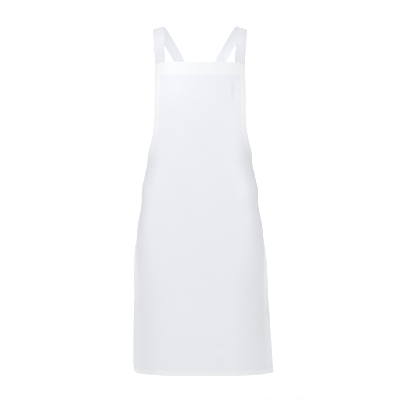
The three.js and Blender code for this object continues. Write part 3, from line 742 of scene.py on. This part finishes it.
def strap_path(depth):
    """Centres, tangents and normals of the strap from the +X bib corner to the -X buckle."""
    bib_power, bib_turn = TURN_POWER[0], math.radians(TURN[0])
    radius = ROUND / (bib_turn * bib_power) * (ROUND / BIB_HALF) ** (bib_power - 1)
    lift = HEM_IN - GAP - (STRAP_WIDTH**2 / (8 * radius) + STAND_OFF) - STRAP / 2
    u = BIB_HALF - STRAP_WIDTH / 2
    points, normals = [], []
    for v in (STRAP_SEWN, STRAP_SEWN / 2, 1):
        points.append(form(u, v) + form_normal(u, v) * lift)
        normals.append(form_normal(u, v))
    points += [np.array(p, float) for p in SHOULDER]
    normals += [np.array(n, float) for n in SHOULDER_UP]
    run = unit(STRAP_LINE * np.array([-1, 0, 1]))
    for k in (CROSS_FLAT, 0, -CROSS_FLAT):
        points.append(CROSSING + np.array([0, depth, 0]) + run * k)
        normals.append(np.array([0, 1, 0], float))
    for s in (TWIST_FROM, TWIST_FROM - LEAD_IN):
        points.append(buckle(0, s, STRAP_N) * FLIP)
        normals.append(OUTWARD * FLIP)
    centres, tangents = curve_points(points, PER_SPAN)
    normals = np.array(normals)
    centres, tangents = centres[:-PER_SPAN], tangents[:-PER_SPAN]
    span = np.minimum(np.arange(len(centres)) / PER_SPAN, len(normals) - 1 - 1e-9)
    i = span.astype(int)
    share = (span - i)[:, None]
    normal = normals[i] * (1 - share) + normals[i + 1] * share
    normal = unit(normal - tangents * (normal * tangents).sum(1, keepdims=True))
    return centres, tangents, normal


def strap_profile(width, thickness):
    """A folded strip's section: flat faces, soft crown and round folded edges."""
    w, t = width / 2, thickness / 2
    half = np.array([0.35, 0.9, 1.8, 4.5, 8, 11.5, w - 5.2, w - 4, w - 3.2, w - 2.4])
    across = np.concatenate([-half[::-1], half])
    crown = 0.28 * (1 - (across / w) ** 2)
    groove = -0.26 * (bump(across, -w + 3.2, 0.9) + bump(across, w - 3.2, 0.9))
    lap = 0.34 * smooth(across, -0.5, 0.5) - 0.2 * bump(across, -0.9, 0.6)
    face = np.stack([across, t + crown + groove + lap - 0.35], -1)
    a = np.linspace(math.pi / 2, -math.pi / 2, 7)[1:-1]
    rim = np.stack([w - 0.9 + 0.9 * np.cos(a), t * np.sin(a)], -1)
    near = [[w - 1.6, t - 0.03]]
    right = np.concatenate([near, rim, [[w - 1.6, -t + 0.03]]])
    left = right[::-1] * np.array([-1, 1])
    under = np.stack([across[::-1], -t + 0.12 * (1 - (across[::-1] / w) ** 2)], -1)
    return np.concatenate([face, right, under, left])


def make_ribbon(name, centres, tangents, normals, width, thickness, material, slot, body="apron"):
    """A closed strip along a path."""
    section = strap_profile(width, thickness)
    across = unit(np.cross(tangents, normals))
    n, m = len(centres), len(section)
    points = (centres[:, None, :] + across[:, None, :] * section[None, :, :1]
              + normals[:, None, :] * section[None, :, 1:])
    run = np.concatenate([[0], np.cumsum(np.linalg.norm(np.diff(centres, axis=0), axis=1))])
    uv = np.stack([np.broadcast_to(section[:, 0], (n, m)), np.broadcast_to(run[:, None], (n, m))], -1)
    faces = grid_faces(n, m, 0, wrap=True)
    faces.append(tuple(range(m))[::-1])
    faces.append(tuple((n - 1) * m + k for k in range(m)))
    piece = make_piece(name, points.reshape(-1, 3), faces, material, body,
                       uv=uv.reshape(-1, 2))
    for cap in (-2, -1):
        piece.data.polygons[len(piece.data.polygons) + cap].use_smooth = False
    facing_out(piece)
    # Painted shade: the straps are folded double, but their cloth gets a layers value of only 0.3.
    # That darkens them for faces turned up and back from the light.
    if material is CLOTH:
        set_layers_and_painted_shade(piece, np.full(n * m, 0.3))
    return piece, run[-1]


def ribbon_stitches(name, centres, tangents, normals, width, thickness, body="apron"):
    """Two rows of edge stitching on both faces of a strip."""
    across = unit(np.cross(tangents, normals))
    starts, ends, ups = [], [], []
    for side in (-1, 1):
        for face in (-1, 1):
            offset = side * (width / 2 - EDGE_STITCH)
            line = centres + across * offset + normals * face * (thickness / 2 - SUNK)
            a, b = stitch_ends(np.concatenate([line, normals * face], 1))
            starts.append(a[:, :3])
            ends.append(b[:, :3])
            ups.append((a[:, 3:] + b[:, 3:]) / 2)
    return make_stitches(name, *joined(starts, ends, ups), body=body)


def lengthwise(points):
    """Centres, tangents and normals for strip points [s, n] in the right buckle's plane."""
    p = np.asarray(points, float)
    d = unit(np.gradient(p, axis=0))
    centres = buckle(0, p[:, 0], p[:, 1])
    tangents = d[:, :1] * STRAP_LINE + d[:, 1:] * OUTWARD
    normals = -d[:, 1:] * STRAP_LINE + d[:, :1] * OUTWARD
    return centres, tangents, normals


def half_turn(s, n, facing, steps=17):
    a = np.linspace(0, math.pi, steps)
    return np.stack([s + facing * TURN_R * np.sin(a), n + TURN_R * np.cos(a)], -1)


def stretch(a, b, step=2.0):
    """Points from a towards b, without b."""
    a, b = np.array(a, float), np.array(b, float)
    count = max(2, int(np.linalg.norm(b - a) / step))
    return a + (b - a) * (np.arange(count) / count)[:, None]


def for_side(side, centres, tangents, normals):
    return [v * TO_SIDE[side] for v in (centres, tangents, normals)]


SPLIT_MAIN = 152  # the strap is fixed above here and follows the plug below
BLEND_END = PLUG_BAR + 48
RETURN_SPLIT = BLEND_END + 0.5  # the strap's end is two pieces, below and above here
TAIL_LEVEL = SLIDER_AT - 12  # from here to the slider the strap's end runs level


def make_straps():
    """Each strap from the bib over the shoulder, past the crossing and down to the plug's travel."""
    for side, depth in (("right", CROSS_SPREAD), ("left", -CROSS_SPREAD)):
        centres, tangents, normals = strap_path(depth)
        straight = np.arange(TWIST_FROM - 2, SPLIT_MAIN - 1, -2.0)
        more = buckle(0, straight, STRAP_N) * FLIP
        down = np.broadcast_to(-STRAP_LINE * FLIP, more.shape)
        out = np.broadcast_to(OUTWARD * FLIP, more.shape)
        path = joined((centres, more), (tangents, down), (normals, out))
        path = for_side(side, *path)
        piece, length = make_ribbon(f"{side}_strap_run", *path, STRAP_WIDTH, STRAP, CLOTH,
                                    "coated_cloth")
        ribbon_stitches(f"{side}_strap_stitching", *path, STRAP_WIDTH, STRAP)
        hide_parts(f"{side}_shoulder_strap")


def make_strap_ends():
    """The strap's end: through the plug, round its bar and back behind itself to the slider."""
    for side in SIDES:
        plug, slider = f"{side}_plug", f"{side}_slider"
        back_n = BAR_N - TURN_R
        tail_n = RETURN_BAR_N - TURN_R
        slope = (tail_n - back_n) / (TAIL_LEVEL - PLUG_BAR)
        split_n = back_n + slope * (RETURN_SPLIT - PLUG_BAR)
        lower = np.concatenate([stretch((SPLIT_MAIN, STRAP_N), (PLUG_BAR, STRAP_N)),
                                half_turn(PLUG_BAR, BAR_N, -1),
                                stretch((PLUG_BAR + 1, back_n + slope), (RETURN_SPLIT, split_n)),
                                [(RETURN_SPLIT, split_n)]])
        upper = np.concatenate([stretch((RETURN_SPLIT, split_n), (TAIL_LEVEL, tail_n)),
                                stretch((TAIL_LEVEL, tail_n), (SLIDER_AT - 0.5, tail_n)),
                                half_turn(SLIDER_AT, RETURN_BAR_N, 1)[::-1],
                                stretch((SLIDER_AT - 1, RETURN_BAR_N + TURN_R),
                                        (SLIDER_AT - 9, RETURN_BAR_N + TURN_R), 1.5)])
        for part, points, body in (("loop", lower, plug), ("tail", upper, slider)):
            path = for_side(side, *lengthwise(points))
            name = f"{side}_strap_{part}"
            piece, _ = make_ribbon(name, *path, STRAP_WIDTH, STRAP, CLOTH, "coated_cloth", None)
            rows = ribbon_stitches(name + "_stitching", *path, STRAP_WIDTH, STRAP, None)
            for thing in (piece, rows):
                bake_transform(thing)
            if part == "tail":
                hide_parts(f"{side}_strap_return")


# ---------------------------------------------------------------- waist corners
def make_tabs():
    """The webbing loop that holds each socket, sewn behind the waist corner."""
    for side in SIDES:
        points = np.concatenate([stretch((-TAB_SEWN, TAB_OUTER), (TAB_FREE, TAB_OUTER)),
                                 stretch((TAB_FREE, TAB_OUTER), (SOCKET_BAR - 1, BAR_N + TURN_R)),
                                 half_turn(SOCKET_BAR, BAR_N, 1),
                                 stretch((SOCKET_BAR - 1, BAR_N - TURN_R), (TAB_FREE, TAB_INNER)),
                                 stretch((TAB_FREE, TAB_INNER), (-TAB_SEWN, TAB_INNER))])
        path = for_side(side, *lengthwise(points))
        piece, _ = make_ribbon(f"{side}_tab_webbing", *path, STRAP_WIDTH, STRAP, WEBBING, "webbing")
        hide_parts(f"{side}_waist_tab")


BOX_THREAD = 0.62  # on the bib's doubled edge, from the smooth form


def make_box_stitches():
    """A stitched box with its diagonals through each strap's end and each waist tab."""
    strap_end = np.array([BIB_HALF - STRAP_WIDTH / 2, STRAP_SEWN / 2])
    tab_middle = 3 - TAB_SEWN / 2
    for side in SIDES:
        flip = TO_SIDE[side]
        # through the strap's end, on the bib
        lines = [(line + strap_end) * flip[:2] for line in box_lines(STRAP_WIDTH - 8, STRAP_SEWN - 14)]
        piece = cloth_stitches(f"{side}_strap_box", lines, ((BOX_THREAD, 1),))
        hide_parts(f"{side}_strap_stitch")
        # through the loop, at the waist corner
        starts, ends, ups = [], [], []
        for line in box_lines(STRAP_WIDTH - 8, TAB_SEWN - 8):
            a, b = stitch_ends(line)
            for n, way in ((DOUBLE_LIFT, 1), (TAB_INNER - STRAP / 2 - SUNK, -1)):
                starts.append(buckle(a[:, 0], a[:, 1] + tab_middle, n) * flip)
                ends.append(buckle(b[:, 0], b[:, 1] + tab_middle, n) * flip)
                ups.append(np.broadcast_to(way * OUTWARD * flip, (len(a), 3)))
        piece = make_stitches(f"{side}_tab_box", *joined(starts, ends, ups))
        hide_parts(f"{side}_tab_stitch")


PATCH_SPACE = 2  # between the patch and the side hem
PATCH_LIFT = -1.9  # the patch, from the cloth's front
PATCH_STEPS = 15


def make_patches():
    """The second layer behind each waist corner."""
    size = 38
    t = np.linspace(0, 1, PATCH_STEPS)
    u, v = np.meshgrid(size * (t - 1), hem_curve(mitre_angle())[1] + MITRE_SPACE + size * t)
    u = u + side_half(v) - SIDE_HEM - PATCH_SPACE
    for side, sign in (("left", -1), ("right", 1)):
        points = cloth_point(sign * u, v, PATCH_LIFT).reshape(-1, 3)
        faces = grid_faces(PATCH_STEPS, PATCH_STEPS)
        faces = faces if sign > 0 else [f[::-1] for f in faces]
        piece = make_piece(f"{side}_corner_patch", points, faces, CLOTH,
                           uv=np.stack([u, v], -1).reshape(-1, 2))
        set_layers_and_painted_shade(piece, np.ones(len(points)))
        thicken(piece, THICK, 1.0)
        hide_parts(f"{side}_waist_patch")


# ---------------------------------------------------------------- buckles and sliders
def finish_moulding(node, body, name):
    """A moulded part with its edges rounded, from the CAD's solid."""
    piece = bpy.data.objects.new(name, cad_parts[node].data.copy())
    bpy.context.collection.objects.link(piece)
    piece.data.materials.clear()
    piece.data.materials.append(PLASTIC)
    shape = bmesh.new()
    shape.from_mesh(piece.data)
    bmesh.ops.remove_doubles(shape, verts=shape.verts, dist=0.01 * MM)
    bmesh.ops.dissolve_limit(shape, angle_limit=math.radians(2), verts=shape.verts, edges=shape.edges)
    shape.to_mesh(piece.data)
    shape.free()
    edge = piece.modifiers.new("round", "BEVEL")
    edge.width = EDGE_ROUND * MM
    edge.segments = 3
    edge.limit_method = "ANGLE"
    edge.angle_limit = math.radians(35)
    edge.use_clamp_overlap = True
    apply_modifiers(piece)
    piece.data.polygons.foreach_set("use_smooth", [True] * len(piece.data.polygons))
    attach(piece, body)
    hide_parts(node)
    return piece


def make_ribs(name, side, body, stations):
    """Grip ribs across a moulded part, half sunk in both its faces."""
    flip = TO_SIDE[side]
    starts, ends, ups = [], [], []
    for way in (-1, 1):
        n = BAR_N + way * BUCKLE_THICK / 2
        starts.append(buckle(-RIB_HALF, stations, n) * flip)
        ends.append(buckle(RIB_HALF, stations, n) * flip)
        ups.append(np.broadcast_to(way * OUTWARD * flip, (len(stations), 3)))
    make_stitches(name, *joined(starts, ends, ups), body=body,
                  radius=RIB_R, material=PLASTIC, slot="buckle_plastic")


def make_hardware():
    ribs = SOCKET_START + FIRST_RIB + RIB_PITCH * np.arange(RIBS)
    for side in SIDES:
        make_ribs(f"{side}_socket_ribs", side, "apron", ribs)
        finish_moulding(f"{side}_buckle_socket", "apron", f"{side}_socket_shell")
        finish_moulding(f"{side}_buckle_plug", f"{side}_plug", f"{side}_plug_body")
        finish_moulding(f"{side}_strap_slider", f"{side}_slider", f"{side}_slider_frame")
        for place in ("lower", "upper"):
            finish_moulding(f"{side}_buckle_prong_{place}", f"{side}_prong_{place}",
                            f"{side}_prong_arm_{place}")


# ---------------------------------------------------------------- stage, lights and camera
EYE_DISTANCE = 3500
EYE_HEIGHT = -588
FRONT_PLANE = -125
VIEW_WIDTH = 1320  # what the picture takes in at the front plane
SENSOR = 36
FLOOR = -1360  # where the wearer stands


def make_camera():
    camera = bpy.data.cameras.new("camera")
    camera.sensor_width = SENSOR
    camera.lens = SENSOR * EYE_DISTANCE / VIEW_WIDTH
    camera.clip_end = 60
    eye = bpy.data.objects.new("camera", camera)
    eye.location = Vector((0, FRONT_PLANE - EYE_DISTANCE, EYE_HEIGHT)) * MM
    eye.rotation_euler = (math.radians(90), 0, 0)
    bpy.context.collection.objects.link(eye)
    bpy.context.scene.camera = eye


def add_area(name, place, target, size, watts, spread=180):
    """A soft light at a place, turned to its target, that shines within an angle in degrees."""
    light = bpy.data.lights.new(name, "AREA")
    light.shape = "RECTANGLE"
    light.size, light.size_y = size
    light.energy = watts
    light.spread = math.radians(spread)
    lamp = bpy.data.objects.new(name, light)
    lamp.location = place
    lamp.rotation_euler = (Vector(target) - Vector(place)).to_track_quat("-Z", "Y").to_euler()
    bpy.context.collection.objects.link(lamp)


def make_stage():
    """A pale floor that curves up into a backdrop."""
    s = Shader("stage_paper", 0.9)
    s.colour(s.mix(s.noise(0.6, 2), (0.90, 0.90, 0.90), (0.93, 0.93, 0.93)))
    half = 9.0
    floor = FLOOR * MM
    near = -8.0
    bend = 1.5
    wall = 5.0
    top = 7.0
    section = [(near, floor), (wall - bend, floor)]
    for a in np.linspace(0, math.pi / 2, 12)[1:]:
        section.append((wall - bend + bend * math.sin(a), floor + bend * (1 - math.cos(a))))
    section.append((wall, top))
    points = [(x, y, z) for y, z in section for x in (-half, half)]
    mesh = bpy.data.meshes.new("backdrop")
    mesh.from_pydata(points, [], grid_faces(len(section), 2))
    mesh.materials.append(s.material)
    mesh.polygons.foreach_set("use_smooth", [True] * len(mesh.polygons))
    backdrop = bpy.data.objects.new("backdrop", mesh)
    bpy.context.collection.objects.link(backdrop)


AMBIENT = 0.455  # strength of the studio's even light


def make_lights():
    """Soft light on the apron from the front, and shaded lights for the floor and backdrop."""
    add_area("key", place=(-0.8, -1.8, 1.0), target=(0, 0, -0.15), size=(1.6, 1.4), watts=18)
    add_area("fill_left", place=(-2.7, -1.9, -0.6), target=(0, 0, -0.8), size=(2, 2), watts=12)
    add_area("fill_right", place=(2.3, -2.7, 0.1), target=(0, 0, -0.6), size=(2, 2), watts=26)
    for side, sign in (("left", -1), ("right", 1)):
        add_area(f"backdrop_light_{side}", place=(3 * sign, 1, 2.5), target=(0.5 * sign, 5, 0),
                 size=(2, 2), watts=40, spread=80)
    add_area("floor_light", place=(0, 2.6, 2.2), target=(0, 2.4, FLOOR * MM), size=(6, 3),
             watts=70, spread=85)
    world = bpy.data.worlds.new("studio")
    world.use_nodes = True
    background = world.node_tree.nodes["Background"]
    background.inputs["Color"].default_value = (1, 1, 1, 1)
    background.inputs["Strength"].default_value = AMBIENT
    bpy.context.scene.world = world
    bpy.context.scene.view_settings.view_transform = "Standard"


make_camera()
make_stage()
make_lights()
cloth = make_cloth()
make_hem_stitching()
make_straps()
make_strap_ends()
make_tabs()
make_box_stitches()
make_patches()
make_hardware()
